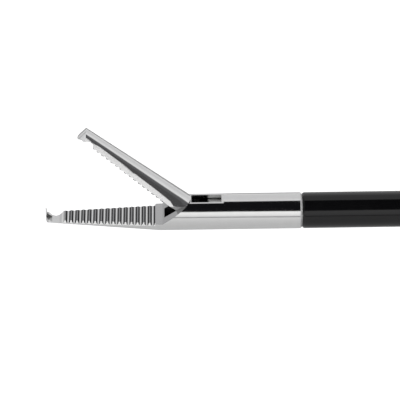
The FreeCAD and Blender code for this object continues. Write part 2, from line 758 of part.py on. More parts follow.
def make_flush_port():
    """Cleaning connector on the shaft: a collar with a tapered nipple, and its pull-off cap."""
    body = new_body("flush_collar")
    middle = "flush_collar_start + flush_collar_len / 2"
    turn(body, "ring", [
        ("flush_collar_start", SEAT_R + " + slip"),
        ("flush_collar_start", "flush_collar_r - 1"),
        ("flush_collar_start + 1", "flush_collar_r"),
        ("flush_collar_start + flush_collar_len - 1", "flush_collar_r"),
        ("flush_collar_start + flush_collar_len", "flush_collar_r - 1"),
        ("flush_collar_start + flush_collar_len", SEAT_R + " + slip"),
    ])
    start = "shaft_r + 0.5"
    add_cylinder(body, "neck", "Additive", "nipple_r + 1", "nipple_len / 2", middle, "0", "0", start)
    add_cylinder(body, "nipple", "Additive", "nipple_r", "nipple_len", middle, "0", "0", start)
    add_cylinder(body, "bore", "Subtractive", "nipple_bore_r", "nipple_len + 2", middle, "0", "0",
                 "shaft_r - 0.5")
    cap = new_body("flush_cap")
    turn(cap, "turned", [
        ("0", "nipple_r + run_fit"),
        ("0", "nipple_r + 1.4"),
        ("cap_len - 1", "nipple_r + 1.4"),
        ("cap_len - 0.4", "nipple_r + 2"),
        ("cap_len", "nipple_r + 1.4"),
        ("cap_len", "0"),
        ("cap_len - 1.4", "0"),
        ("cap_len - 1.4", "nipple_r + run_fit"),
    ])
    cap_z = "shaft_r + 0.5 + nipple_len / 2 + side_gap"
    place(cap, middle, "0", cap_z, (0, 1, 0), "-90")


def make_knob():
    """Steel hub fixed on the tube, its fluted turning knob, grub screw, clip, seal and front bush."""
    turned_piece("shaft_hub", [
        ("hub_start", SEAT_R + " + slip"),
        ("hub_start", "hub_front_r"),
        ("journal_start", "hub_front_r"),
        ("journal_start", "journal_r"),
        ("clip_x", "journal_r"),
        ("clip_x", "clip_groove_r"),
        ("clip_x + clip_thick + 0.1", "clip_groove_r"),
        ("clip_x + clip_thick + 0.1", "journal_r"),
        ("hub_end - 0.5", "journal_r"),
        ("hub_end", "journal_r - 0.5"),
        ("hub_end", TUBE_R + " + slip"),
        ("sleeve_len + slip", TUBE_R + " + slip"),
        ("sleeve_len + slip", SEAT_R + " + slip"),
    ])
    turned_piece("hub_clip", [
        ("clip_x + 0.05", "clip_groove_r + slip"),
        ("clip_x + 0.05", "clip_r"),
        ("clip_x + 0.05 + clip_thick", "clip_r"),
        ("clip_x + 0.05 + clip_thick", "clip_groove_r + slip"),
    ])
    seal_r = "(%s + slip - rod_r) / 2 - 0.03" % TUBE_R
    seal = DOC.addObject("Part::Torus", "rod_seal")
    seal.Label = "rod_seal"
    bind(seal, Radius1="(%s + slip + rod_r) / 2" % TUBE_R, Radius2=seal_r)
    place(seal, "hub_end - 3", "0", "0", (0, 1, 0), "90")
    PIECES.append(seal)
    knob = new_body("rotation_knob")
    turn(knob, "turned", [
        ("knob_start", "shaft_r + 0.1"),
        ("knob_start", "knob_nose_r"),
        ("knob_start + 5", "knob_r - 3.2"),
        ("knob_start + 9", "knob_r"),
        ("knob_end - 2", "knob_r"),
        ("knob_end", "knob_r - 1.5"),
        ("knob_end", "hub_front_r + slip"),
        ("hub_start - slip", "hub_front_r + slip"),
        ("hub_start - slip", "shaft_r + 0.1"),
    ])
    sketch = new_sketch(knob, "flute_outline", "YZ_Plane", "knob_start")
    draw_circle(sketch, "(knob_r + knob_flute_r - knob_flute_depth) * sin(180 / knob_flutes)",
                "(knob_r + knob_flute_r - knob_flute_depth) * cos(180 / knob_flutes)", "knob_flute_r")
    flute = add_feature(knob, "Pocket", "flute", sketch, "knob_end - knob_start", reverse=True)
    flutes = knob.newObject("PartDesign::PolarPattern", "rotation_knob_flutes")
    flutes.Originals = [flute]
    flutes.Axis = (sketch, ["N_Axis"])
    flutes.Angle = 360
    bind(flutes, Occurrences="knob_flutes")
    knob.Tip = flutes
    add_cylinder(knob, "screw_hole", "Subtractive", "grub_r + slip", "knob_r", "grub_x", "0", "0",
                 "hub_front_r - 0.2")
    turned_piece("knob_screw", [
        ("0", "0"),
        ("0", "grub_r - 0.3"),
        ("0.3", "grub_r"),
        ("grub_len", "grub_r"),
        ("grub_len", "0.65"),
        ("grub_len - 1.2", "0.65"),
        ("grub_len - 1.2", "0"),
    ], "grub_x", "0", "hub_front_r + slip", (0, 1, 0), "-90")
    turned_piece("front_bush", [
        ("frame_start", "journal_r + run_fit"),
        ("frame_start", "bush_r"),
        ("frame_start + bush_len", "bush_r"),
        ("frame_start + bush_len", "journal_r + run_fit"),
    ])


def make_handle_half(name, left):
    """One moulded half of the handle: nose, cavity for the lever, post boss, arm and finger loop."""
    body = new_body(name)
    away = "-" if left else ""
    top = new_sketch(body, "block_outline", "XZ_Plane")
    draw_outline(top, [
        ("frame_start", "-frame_nose"),
        ("frame_start", "frame_nose"),
        ("frame_start + 8", "frame_top"),
        ("lever_x + 6", "frame_top"),
        ("frame_end - 3", "4"),
        ("frame_end", "-4"),
        ("frame_end - 3", "-frame_bottom"),
        ("lever_x - 8", "-frame_bottom"),
        ("loop_x + arm_width / 2 + 2", "-frame_bottom - 5"),
        ("loop_x + arm_width / 2", "loop_z + loop_half_height - 1"),
        ("loop_x - arm_width / 2", "loop_z + loop_half_height - 1"),
        ("loop_x - arm_width / 2", "-frame_bottom"),
    ])
    add_feature(body, "Pad", "block", top, "frame_half", reverse=left)
    half = number("frame_half")
    rounded = dress_edges(body, "Fillet", "outer_round", lambda edge: all(
        abs(abs(vertex.Point.y) - half) < 1e-6 for vertex in edge.Vertexes))
    bind(rounded, Radius="frame_edge_round")
    add_cylinder(body, "post_boss", "Additive", "post_root_r + 1.9", "post_boss_len + 4", "post_x", "post_z",
                 "post_tilt", "-4")
    add_loop(body, "loop", "loop_x", "loop_z", "loop_half_width", "loop_half_height", "loop_wire_r")
    split = new_sketch(body, "split_outline", "XZ_Plane")
    draw_outline(split, [
        ("frame_start - 40", "-120"),
        ("frame_end + 40", "-120"),
        ("frame_end + 40", "60"),
        ("frame_start - 40", "60"),
    ])
    add_feature(body, "Pocket", "split", split, "3 * frame_half", reverse=left)
    slab(body, "cavity", [
        ("frame_start + bush_len - 0.1", "-cavity_drop"),
        ("frame_start + bush_len - 0.1", "cavity_top"),
        ("cavity_end - 6", "cavity_top"),
        ("cavity_end", "0"),
        ("cavity_end", "-2 * frame_bottom"),
        ("lever_x - 6", "-2 * frame_bottom"),
        ("lever_x - 9", "-cavity_drop"),
    ], "2 * cavity_half", "Pocket")
    bore = new_sketch(body, "bore_outline", "YZ_Plane", "frame_start")
    draw_circle(bore, "0", "0", "bush_r + slip")
    add_feature(body, "Pocket", "bore", bore, "bush_len", reverse=True)
    boss = new_sketch(body, "pin_boss_outline", "XZ_Plane", away + "(lever_half + 0.15)")
    draw_circle(boss, "lever_x", "-ball_offset", "lever_pin_r + 2")
    add_feature(body, "Pad", "pin_boss", boss, "cavity_half - lever_half", reverse=left)
    disc(body, "pin_hole", "lever_x", "-ball_offset", "lever_pin_r + slip", "2 * (frame_half - 1.5)",
         "Pocket")
    add_cylinder(body, "post_hole", "Subtractive", "post_root_r + slip", "post_len", "post_x", "post_z",
                 "post_tilt", "-4")
    for index, (x, z) in enumerate(SCREW_SPOTS, start=1):
        disc(body, "screw_hole_%d" % index, x, z, "screw_r + slip",
             "2 * frame_half + 1" if left else "2 * (frame_half - 2)", "Pocket")
        if left:
            sink = new_sketch(body, "screw_sink_%d_outline" % index, "XZ_Plane", "-frame_half")
            draw_circle(sink, x, z, "screw_head_r + 0.1")
            add_feature(body, "Pocket", "screw_sink_%d" % index, sink, "screw_head_len + 0.1", reverse=True)
    return body


def make_handle():
    """Both halves of the handle and the screws that hold them together."""
    make_handle_half("handle_left", True)
    make_handle_half("handle_right", False)
    for index, (x, z) in enumerate(SCREW_SPOTS, start=1):
        turned_piece("handle_screw_%d" % index, [
            ("0.8", "0"),
            ("0.8", "0.8"),
            ("0", "0.8"),
            ("0", "screw_head_r - 0.4"),
            ("0.4", "screw_head_r"),
            ("screw_head_len", "screw_head_r"),
            ("screw_head_len", "screw_r"),
            ("screw_len", "screw_r"),
            ("screw_len", "0"),
        ], x, "frame_half - 0.1", z, (0, 0, 1), "-90")


def make_thumb_lever():
    """Thumb lever: forked head that holds the rod's ball, arm and thumb ring, drawn at mid-travel."""
    body = new_body("thumb_lever")
    disc(body, "head", "0", "0", "lever_head_r", "2 * lever_half")
    slab(body, "fork", [
        ("-lever_head_r + 1.5", "0"),
        ("lever_head_r - 1.5", "0"),
        ("lever_head_r - 1.8", "ball_offset + 1.9"),
        ("-lever_head_r + 1.8", "ball_offset + 1.9"),
    ], "2 * lever_half")
    slab(body, "arm", [
        ("-lever_arm_width / 2", "-1"),
        ("thumb_x - 10", "thumb_z + thumb_half_height - 1"),
        ("thumb_x", "thumb_z + thumb_half_height + 1"),
        ("lever_arm_width / 2 + 1", "0"),
    ], "2 * lever_half")
    add_loop(body, "ring", "thumb_x", "thumb_z", "thumb_half_width", "thumb_half_height", "thumb_wire_r")
    add_cylinder(body, "ball_pocket", "Subtractive", "ball_r + ball_gap", "4 * ball_r", "0", "0", "0",
                 "ball_offset - ball_r - ball_gap")
    slab(body, "neck_slot", [
        ("-2 * lever_head_r", "ball_offset - rod_r - neck_gap - 2 * lever_head_r * tan(%s)" % LEVER_TILT),
        ("0", "ball_offset - rod_r - neck_gap"),
        ("0", "4 * ball_offset"),
        ("-2 * lever_head_r", "4 * ball_offset"),
    ], "2 * (rod_r + neck_gap)", "Pocket")
    disc(body, "pin_hole", "0", "0", "lever_pin_r + run_fit", "4 * lever_half", "Pocket")
    place(body, "lever_x", "0", "-ball_offset", (0, 1, 0), "-" + LEVER_TILT)
    cross_pin("lever_pin", "lever_pin_r", "frame_half - 1.6", "lever_x", "-ball_offset")


def make_cautery_post():
    """Plug post for the high-frequency lead, with a waist that a lead's socket snaps on."""
    turned_piece("cautery_post", [
        ("-3.9", "0"),
        ("-3.9", "post_root_r"),
        ("post_boss_len", "post_root_r"),
        ("post_boss_len", "post_r"),
        ("post_len - 4", "post_r"),
        ("post_len - 3.5", "post_r - 0.35"),
        ("post_len - 2.5", "post_r - 0.35"),
        ("post_len - 2", "post_r"),
        ("post_len - 0.7", "post_r"),
        ("post_len", "post_r - 0.7"),
        ("post_len", "0"),
    ], "post_x", "0", "post_z", (0, 1, 0), "post_tilt - 90")


def check_pieces():
    """Stop if any object failed, a cut removed nothing or a sub-part isn't a valid solid."""
    for item in DOC.Objects:
        if "Invalid" in item.State or "Error" in item.State:
            raise RuntimeError("%s failed: %s" % (item.Name, item.getStatusString()))
        if item.TypeId in ("PartDesign::Pocket", "PartDesign::Groove"):
            if item.BaseFeature.Shape.Volume - item.Shape.Volume < 1e-4:
                raise RuntimeError("%s cuts nothing" % item.Name)
    for piece in PIECES:
        if piece.Shape.isNull() or not piece.Shape.isValid() or not piece.Shape.Solids:
            raise RuntimeError("%s has no valid solid" % piece.Label)


def write_parts():
    """Write each sub-part to its own file."""
    os.makedirs("parts", exist_ok=True)
    for piece in PIECES:
        piece.Shape.exportStep(os.path.join("parts", piece.Label + ".step"))
        print("%-22s %9.2f mm3" % (piece.Label, piece.Shape.Volume))


fill_sheet()
make_jaw_housing()
make_upper_jaw()
make_links()
make_rod_tip()
make_small_pins()
make_shaft()
make_rod_ball()
make_flush_port()
make_knob()
make_handle()
make_thumb_lever()
make_cautery_post()
DOC.recompute()
check_pieces()
write_parts()
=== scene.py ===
# %% [markdown]
# # Laparoscopic grasper: finishes, light and camera
#
# The mechanism already exists as solids, and this lesson loads it as a fixed frame. What Blender
# adds is what the eye reads as real: polished steel that shows the room round it, the fine lines
# left by a polishing belt, rough grooves and hollows painted nearly black as painted shade, the
# faint waviness of a shrunk-on sleeve, and the grain of a moulded handle. Nothing here moves a
# solid or changes its size, and no form is added, because every form that the eye sees is in the
# solids already.

# %% Load the frame
import bpy
import math
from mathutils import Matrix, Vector


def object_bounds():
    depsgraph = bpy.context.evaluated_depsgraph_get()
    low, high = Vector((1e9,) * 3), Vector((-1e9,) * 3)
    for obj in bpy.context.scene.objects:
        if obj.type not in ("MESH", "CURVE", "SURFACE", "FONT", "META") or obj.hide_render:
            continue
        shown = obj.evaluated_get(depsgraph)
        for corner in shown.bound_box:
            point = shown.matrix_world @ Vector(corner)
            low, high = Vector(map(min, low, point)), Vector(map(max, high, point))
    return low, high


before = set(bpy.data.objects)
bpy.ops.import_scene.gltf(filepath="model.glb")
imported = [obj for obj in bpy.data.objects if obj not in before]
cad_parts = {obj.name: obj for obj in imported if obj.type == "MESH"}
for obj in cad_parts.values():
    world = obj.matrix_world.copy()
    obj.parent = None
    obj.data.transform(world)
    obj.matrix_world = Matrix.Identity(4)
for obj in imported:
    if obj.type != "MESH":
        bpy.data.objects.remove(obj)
cad_box = [list(corner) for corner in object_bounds()]
print("solid model box, in metres:", cad_box)

# %% [markdown]
# ## Camera
#
# The photograph looks at the jaws from the front side and about 36 degrees above, through a long
# lens, so the shaft's sides stay parallel. The shaft climbs slightly to the right, which is a small
# roll of the camera. The view is about 55 mm wide, so only the jaws and the first part of the
# sleeve are in it. A camera half a metre away gives nearly the same picture as a parallel
# projection, and is easier to turn round the object later.

# %% Camera
ELEVATION = math.radians(36.2)
ROLL = math.radians(-0.83)
VIEW_WIDTH = 0.0555
CAMERA_DISTANCE = 0.50
SENSOR_WIDTH = 36
AIM_ALONG = -0.01417
AIM_UP = 0.00162
toward_camera = Vector((0, -math.cos(ELEVATION), math.sin(ELEVATION)))
image_up = Vector((0, math.sin(ELEVATION), math.cos(ELEVATION)))
aim = Vector((AIM_ALONG, 0, 0)) + image_up * AIM_UP

bpy.ops.object.select_all(action="DESELECT")
bpy.ops.object.camera_add(location=aim + toward_camera * CAMERA_DISTANCE)
camera = bpy.context.object
camera.name = "camera"
camera.rotation_euler = (-toward_camera).to_track_quat("-Z", "Y").to_euler()
camera.rotation_euler.rotate_axis("Z", ROLL)
camera.data.sensor_width = SENSOR_WIDTH
camera.data.lens = SENSOR_WIDTH * CAMERA_DISTANCE / VIEW_WIDTH
camera.data.clip_start = 0.01
camera.data.clip_end = 20
bpy.context.scene.camera = camera
bpy.context.scene.view_settings.view_transform = "Standard"
print("lens, in millimetres:", round(camera.data.lens, 1))

# %% [markdown]
# ## Node helpers
#
# World and materials are both trees of nodes. Three short helpers keep the lesson readable: one
# adds a node and fills in its values, one spreads a number from one span onto another, and one
# mixes two colours.

# %% Node helpers
def node(tree, kind, **values):
    """Add a shader node and set its inputs, and with a leading underscore its properties."""
    made = tree.nodes.new(kind)
    for name, value in values.items():
        if name.startswith("_"):
            setattr(made, name[1:], value)
        else:
            made.inputs[name.replace("_", " ")].default_value = value
    return made


def ramp(tree, source, low, high, to_low=0.0, to_high=1.0, smooth=False):
    """Spread a value between two limits onto two others."""
    spread = node(tree, "ShaderNodeMapRange", From_Min=low, From_Max=high,
                  To_Min=to_low, To_Max=to_high)
    spread.interpolation_type = "SMOOTHSTEP" if smooth else "LINEAR"
    tree.links.new(source, spread.inputs["Value"])
    return spread.outputs["Result"]


def blend_colors(tree, factor, first, second):
    """Mix two colours, each given as numbers or as another node's output."""
    mix = node(tree, "ShaderNodeMix", _data_type="RGBA")
    tree.links.new(factor, mix.inputs["Factor"])
    for name, color in (("A", first), ("B", second)):
        if isinstance(color, tuple):
            mix.inputs[name].default_value = (*color, 1)
        else:
            tree.links.new(color, mix.inputs[name])
    return mix.outputs["Result"]


# %% [markdown]
# ## A light tent with dark openings
#
# Polished steel has no look of its own: it shows what stands around it. In the photograph a broad
# dark stripe runs along the housing between two bright ones, which is the dark opening overhead of
# an otherwise white light tent. The raised jaw leans towards the left of the tent, so it shows two
# more openings, low on the camera's right. The world is built the same way: white walls, greyer to
# the rear, to the left and near the table, with soft-edged dark openings. Each opening is given by
# a direction, a half angle and the softness of its edge, both in degrees, and its colour. A world
# made of nodes costs nothing to render and stays the same when the camera moves.

# %% World
TENT_WHITE = (1.0, 1.0, 1.0)
TENT_REAR, REAR_SPAN = (0.67, 0.67, 0.68), (-0.35, 0.55)
TENT_LEFT, LEFT_SPAN = (0.30, 0.30, 0.31), (-0.35, -0.75)
TENT_LOW, LOW_SPAN = (0.82, 0.82, 0.825), (0.38, 0.0)
OPENINGS = [
    ("overhead", (0.0, -0.407, 0.914), 35.0, 2.2, (0.006, 0.006, 0.007)),
    ("right", (0.85, -0.42, 0.28), 25.0, 4.0, (0.11, 0.11, 0.115)),
    ("right_front", (0.66, -0.70, 0.10), 26.0, 5.0, (0.075, 0.075, 0.077)),
]

world = bpy.data.worlds.new("light_tent")
bpy.context.scene.world = world
world.use_nodes = True
tent = world.node_tree
tent.nodes.clear()

heading = node(tent, "ShaderNodeTexCoord").outputs["Generated"]
split = node(tent, "ShaderNodeSeparateXYZ")
tent.links.new(heading, split.inputs[0])
walls = blend_colors(tent, ramp(tent, split.outputs["Y"], *REAR_SPAN), TENT_WHITE, TENT_REAR)
walls = blend_colors(tent, ramp(tent, split.outputs["X"], *LEFT_SPAN), walls, TENT_LEFT)
near_table = ramp(tent, split.outputs["Z"], *LOW_SPAN, smooth=True)
walls = blend_colors(tent, near_table, walls, TENT_LOW)
for opening, toward, half_angle, edge, color in OPENINGS:
    facing = node(tent, "ShaderNodeVectorMath", _operation="DOT_PRODUCT")
    facing.inputs[1].default_value = Vector(toward).normalized()
    tent.links.new(heading, facing.inputs[0])
    outer = math.cos(math.radians(half_angle + edge))
    inner = math.cos(math.radians(half_angle - edge))
    cover = ramp(tent, facing.outputs["Value"], outer, inner, smooth=True)
    walls = blend_colors(tent, cover, walls, color)
    print("tent opening", opening, "half angle, in degrees:", half_angle)

seen = node(tent, "ShaderNodeLightPath")
light = node(tent, "ShaderNodeBackground", Strength=1.0)
backdrop = blend_colors(tent, seen.outputs["Is Camera Ray"], walls, TENT_WHITE)
tent.links.new(backdrop, light.inputs["Color"])
world_out = node(tent, "ShaderNodeOutputWorld")
tent.links.new(light.outputs[0], world_out.inputs["Surface"])

# %% [markdown]
# ## Floor
#
# A plain pale floor lies under the two finger rings. When the handle closes, the thumb ring swings
# to 7 mm below the lowest point that the tool has at rest, so the floor lies a little lower than
# that. It is white where the light reaches it and keeps the soft shadow of the handle. Seen by the
# camera it is lifted a little, so that it joins the white backdrop with no line. Polished steel
# sees it a shade darker, as the paper under a product is shaded by the product and its stand.

# %% Floor
SWING_ROOM = 0.0105
FLOOR_WIDTH = 12
PAPER = (0.78, 0.78, 0.78, 1)
SHADED_PAPER = (0.70, 0.70, 0.70, 1)
PAPER_LIFT = 0.6

floor_material = bpy.data.materials.new("pale_floor")
floor_material.use_nodes = True
floor_tree = floor_material.node_tree
floor_tree.nodes.clear()
paper = node(floor_tree, "ShaderNodeBsdfDiffuse", Color=PAPER)
shaded_paper = node(floor_tree, "ShaderNodeBsdfDiffuse", Color=SHADED_PAPER)
lift = node(floor_tree, "ShaderNodeEmission", Color=(1, 1, 1, 1), Strength=PAPER_LIFT)
both = node(floor_tree, "ShaderNodeAddShader")
ray = node(floor_tree, "ShaderNodeLightPath")
choice = node(floor_tree, "ShaderNodeMixShader")
floor_out = node(floor_tree, "ShaderNodeOutputMaterial")
floor_tree.links.new(paper.outputs[0], both.inputs[0])
floor_tree.links.new(lift.outputs[0], both.inputs[1])
floor_tree.links.new(ray.outputs["Is Camera Ray"], choice.inputs["Fac"])
floor_tree.links.new(shaded_paper.outputs[0], choice.inputs[1])
floor_tree.links.new(both.outputs[0], choice.inputs[2])
floor_tree.links.new(choice.outputs[0], floor_out.inputs["Surface"])

bpy.ops.object.select_all(action="DESELECT")
floor_place = (0, 0, cad_box[0][2] - SWING_ROOM)
bpy.ops.mesh.primitive_plane_add(size=FLOOR_WIDTH, location=floor_place)
floor = bpy.context.object
floor.name = "floor"
floor.data.materials.append(floor_material)
print("floor height, in metres:", round(floor_place[2], 4))

# %% [markdown]
# ## Lamp
#
# One soft lamp from the upper left gives the satin surfaces and the plastic their direction of
# light. Mirrors don't see it, because a square lamp would draw a bright square on the polished
# housing, which the photograph doesn't have.

# %% Lamp
LAMP_PLACE = (-0.3, -0.5, 0.45)
LAMP_WIDTH = 0.5
LAMP_WATTS = 3.8

bpy.ops.object.select_all(action="DESELECT")
bpy.ops.object.light_add(type="AREA", location=LAMP_PLACE)
softbox = bpy.context.object
softbox.name = "softbox"
softbox.data.shape = "SQUARE"
softbox.data.size = LAMP_WIDTH
softbox.data.energy = LAMP_WATTS
softbox.visible_glossy = False
softbox.rotation_euler = Vector(LAMP_PLACE).to_track_quat("Z", "Y").to_euler()

# %% [markdown]
# ## Steel finishes
#
# Each finish is one material with its own grain. Polished surgical steel is a mirror with very fine
# belt lines across it and a faint cloudiness; drawn and turned steel is duller, with lines along or
# around the piece. Noise that is squeezed along one axis makes such lines. It moves the roughness
# and raises the surface by a few thousandths of a millimetre, and a second, rounder noise moves the
# colour between two close greys. Object coordinates keep the lines on the piece when it moves.

# %% Material helpers
NOISE_SPAN = (0.3, 0.7)
CLOUD_SCALE = 900


def new_finish(name, color, metallic, roughness):
    """Start a material and hand back its tree and its shader."""
    material = bpy.data.materials.new(name)
    material.use_nodes = True
    tree = material.node_tree
    shader = tree.nodes["Principled BSDF"]
    shader.inputs["Base Color"].default_value = (*color, 1)
    shader.inputs["Metallic"].default_value = metallic
    shader.inputs["Roughness"].default_value = roughness
    return material, tree, shader


def grain(tree, scale, stretch=(1, 1, 1), detail=4.0):
    """Noise in object coordinates, squeezed along the axes by the three numbers."""
    place = node(tree, "ShaderNodeTexCoord")
    mapping = node(tree, "ShaderNodeMapping", Scale=stretch)
    noise = node(tree, "ShaderNodeTexNoise", Scale=scale, Detail=detail, Roughness=0.6)
    tree.links.new(place.outputs["Object"], mapping.inputs["Vector"])
    tree.links.new(mapping.outputs[0], noise.inputs["Vector"])
    return noise.outputs[0]


def relief(tree, height, distance, under=None):
    """A very shallow bump from a noise, over another bump if one is given."""
    bump = node(tree, "ShaderNodeBump", Distance=distance)
    tree.links.new(height, bump.inputs["Height"])
    if under:
        tree.links.new(under, bump.inputs["Normal"])
    return bump.outputs[0]


# %% Steel
def steel(name, dark, light, roughness, scale, stretch, height):
    """A bare steel with fine lines that lie across the squeezed axes."""
    material, tree, shader = new_finish(name, light, 1.0, roughness[1])
    lines = grain(tree, scale, stretch)
    clouds = grain(tree, CLOUD_SCALE, detail=2.0)
    tree.links.new(blend_colors(tree, clouds, dark, light), shader.inputs["Base Color"])
    tree.links.new(ramp(tree, lines, *NOISE_SPAN, *roughness), shader.inputs["Roughness"])
    tree.links.new(relief(tree, lines, height), shader.inputs["Normal"])
    return material


POLISHED_DARK, POLISHED_LIGHT = (0.78, 0.78, 0.775), (0.84, 0.84, 0.835)
BELT_SCALE, BELT_STRETCH, BELT_HEIGHT = 900, (18, 2, 2), 0.000002

polished_steel = steel("polished_steel", POLISHED_DARK, POLISHED_LIGHT, (0.07, 0.16),
                       BELT_SCALE, BELT_STRETCH, BELT_HEIGHT)
milled_steel = steel("milled_steel", (0.68, 0.68, 0.675), (0.80, 0.80, 0.795), (0.40, 0.58),
                     1200, (1, 12, 1), 0.000004)
ground_steel = steel("ground_steel", (0.62, 0.62, 0.615), (0.72, 0.72, 0.715), (0.14, 0.28),
                     1500, (1, 14, 14), 0.000002)
drawn_steel = steel("drawn_steel", (0.60, 0.60, 0.595), (0.70, 0.70, 0.695), (0.18, 0.34),
                    700, (1, 16, 16), 0.000003)
turned_steel = steel("turned_steel", (0.66, 0.66, 0.655), (0.76, 0.76, 0.755), (0.12, 0.26),
                     500, (20, 1, 1), 0.000003)

# %% [markdown]
# ## Blasted rod end
#
# The block at the rod's end is seen through the window in the housing, in its own shade. Its
# surface is bead-blasted, which scatters light in all directions, so it is made only partly
# metallic: a fully metallic one would mirror the dark walls and vanish.

# %% Blasted steel
BLASTED_METALLIC = 0.35

blasted_steel = steel("blasted_steel", (0.70, 0.70, 0.695), (0.82, 0.82, 0.815), (0.45, 0.60),
                      1800, (1, 1, 1), 0.000004)
blasted_shader = blasted_steel.node_tree.nodes["Principled BSDF"]
blasted_shader.inputs["Metallic"].default_value = BLASTED_METALLIC

# %% [markdown]
# ## Where a jaw is dull with painted shade, satin or ground
#
# The jaws are polished after the grooves are cut, and a polishing wheel never gets into a groove:
# its steep walls stay rough while its floor shines. The walls are also painted nearly black, a
# painted shade for the shadow inside each groove. The slot for the linkage, the chamber behind it,
# the pocket behind the claw and the raised jaw's tang get rough, near-black painted shade too, the
# pocket and the tang more faintly. The bevels beside the grooves, the lower sides of the raised jaw
# and the chamfer at the housing's rear end are satin, painted darker where they face down as
# painted shade. The flat gripping face is ground, which looks greyer, and so to a lesser degree is
# the slanted cheek of the slot.
# All these places are found by where a point lies and which way it faces, in a frame that lies
# along the closed jaw with its pivot at the centre. Small helpers turn such tests into numbers from
# zero to one, and a few of them multiplied together pick out one place. Painting by place needs no
# image, and it stays on the jaw when the jaw turns.

# %% Mask helpers
PIVOT = (-0.0157, 0.0, 0.0005)
SOFT_EDGE = 0.00003


def math_node(tree, operation, first, second=0.0):
    """Work out one number from two, each a number or another node's output."""
    made = node(tree, "ShaderNodeMath", _operation=operation)
    for socket, value in zip(made.inputs, (first, second)):
        if isinstance(value, (int, float)):
            socket.default_value = value
        else:
            tree.links.new(value, socket)
    return made.outputs[0]


def times(tree, first, *others):
    """Multiply several numbers."""
    for other in others:
        first = math_node(tree, "MULTIPLY", first, other)
    return first


def between(tree, value, low, high, soft=SOFT_EDGE):
    """One where a value lies between two limits and zero elsewhere, with soft ends."""
    rise = ramp(tree, value, low - soft, low + soft)
    fall = ramp(tree, value, high + soft, high - soft)
    return times(tree, rise, fall)


def inside_box(tree, where, strength, low, high):
    """A strength inside a box of the jaw's own frame and zero outside it."""
    sides = [between(tree, where[axis], low[i], high[i]) for i, axis in enumerate("XYZ")]
    return times(tree, *sides, strength)


def jaw_axes(tree, lean):
    """Coordinates and surface direction in the closed jaw's frame, centred on its pivot."""
    outputs = []
    place = node(tree, "ShaderNodeTexCoord")
    for output, centre in (("Object", PIVOT), ("Normal", (0.0, 0.0, 0.0))):
        turned = node(tree, "ShaderNodeMapping", _vector_type="TEXTURE", Location=centre,
                      Rotation=(0.0, lean, 0.0))
        parts = node(tree, "ShaderNodeSeparateXYZ")
        tree.links.new(place.outputs[output], turned.inputs["Vector"])
        tree.links.new(turned.outputs[0], parts.inputs[0])
        outputs.append(parts.outputs)
    return outputs


# %% Groove walls
GROOVE_ROW = (-0.0172, -0.0047)
STEEP = (0.31, 0.47)
SIDEWAYS = (0.30, 0.12)


# The groove walls are painted nearly black in the jaw finish: painted shade inside the grooves.
def groove_walls(tree, where, facing):
    """The steep walls of the cross grooves."""
    steep = ramp(tree, math_node(tree, "ABSOLUTE", facing["X"]), *STEEP, smooth=True)
    upright = ramp(tree, math_node(tree, "ABSOLUTE", facing["Y"]), *SIDEWAYS)
    return times(tree, steep, upright, between(tree, where["X"], *GROOVE_ROW))


# %% Housing and lower jaw
# The slot, the claw pocket and the chamber mark where near-black painted shade goes.
SLOT = (1.0, (-0.00345, -0.00107, -0.00247), (0.0020, 0.00107, 0.00144))
CLAW_POCKET = (0.4, (-0.01973, -0.00064, -0.00147), (-0.01903, 0.00064, -0.00108))
CHAMBER = (0.0014, 0.0026)
CHAMBER_RADIUS = 0.00197
CHAMBER_EDGE = 0.00002
SHAFT_DROP = 0.0005
BEVEL_ROW = (-0.0190, -0.0046)
BEVEL_SIDE_LOW, BEVEL_SIDE_HIGH, BEVEL_RISE = (0.50, 0.60), (0.90, 0.82), (0.3, 0.4)
RING_FACING, RING_START = (0.30, 0.45), (0.0146, 0.0148)
FACE_ROW, FACE_HEIGHT, FACE_LEVEL = (-0.0190, 0.0), (-0.00088, -0.00084), (0.95, 0.985)
BLOCK_START, BLOCK_SHARE = (-0.0048, -0.0046), 0.5
CHEEK_SLOPE, CHEEK_SOFT, CHEEK_LEAN = (0.79, 0.86), 0.01, (0.35, 0.45)
CHEEK_ROW, CHEEK_SHARE = (-0.0045, 0.0010), 0.6


def chamber_wall(tree, where):
    """The round chamber for the linkage, up to the rod's end."""
    height = math_node(tree, "ADD", where["Z"], SHAFT_DROP)
    square = math_node(tree, "ADD", times(tree, height, height),
                       times(tree, where["Y"], where["Y"]))
    inside = ramp(tree, math_node(tree, "SQRT", square), CHAMBER_RADIUS + CHAMBER_EDGE,
                  CHAMBER_RADIUS)
    return times(tree, inside, between(tree, where["X"], *CHAMBER))


def lower_places(tree, where, facing):
    """Places of the housing and the lower jaw with painted shade, satin and ground finish."""
    # Painted shade: groove walls, slot, claw pocket and chamber are painted nearly black and made
    # rough.
    dull_and_shade = groove_walls(tree, where, facing)
    for place in (inside_box(tree, where, *SLOT), inside_box(tree, where, *CLAW_POCKET),
                  chamber_wall(tree, where)):
        dull_and_shade = math_node(tree, "MAXIMUM", dull_and_shade, place)

    side = math_node(tree, "ABSOLUTE", facing["Y"])
    bevel = times(tree, ramp(tree, side, *BEVEL_SIDE_LOW), ramp(tree, side, *BEVEL_SIDE_HIGH),
                  ramp(tree, facing["Z"], *BEVEL_RISE), between(tree, where["X"], *BEVEL_ROW))
    end_ring = times(tree, ramp(tree, facing["X"], *RING_FACING),
                     ramp(tree, where["X"], *RING_START))
    satin = math_node(tree, "MAXIMUM", bevel, end_ring)

    face = times(tree, ramp(tree, facing["Z"], *FACE_LEVEL), ramp(tree, where["Z"], *FACE_HEIGHT),
                 between(tree, where["X"], *FACE_ROW),
                 ramp(tree, where["X"], *BLOCK_START, 1.0, BLOCK_SHARE))
    leaning = ramp(tree, math_node(tree, "ABSOLUTE", facing["X"]), *CHEEK_LEAN)
    cheek = times(tree, between(tree, facing["Z"], *CHEEK_SLOPE, soft=CHEEK_SOFT), leaning,
                  between(tree, where["X"], *CHEEK_ROW), CHEEK_SHARE)
    return dull_and_shade, satin, math_node(tree, "MAXIMUM", face, cheek)
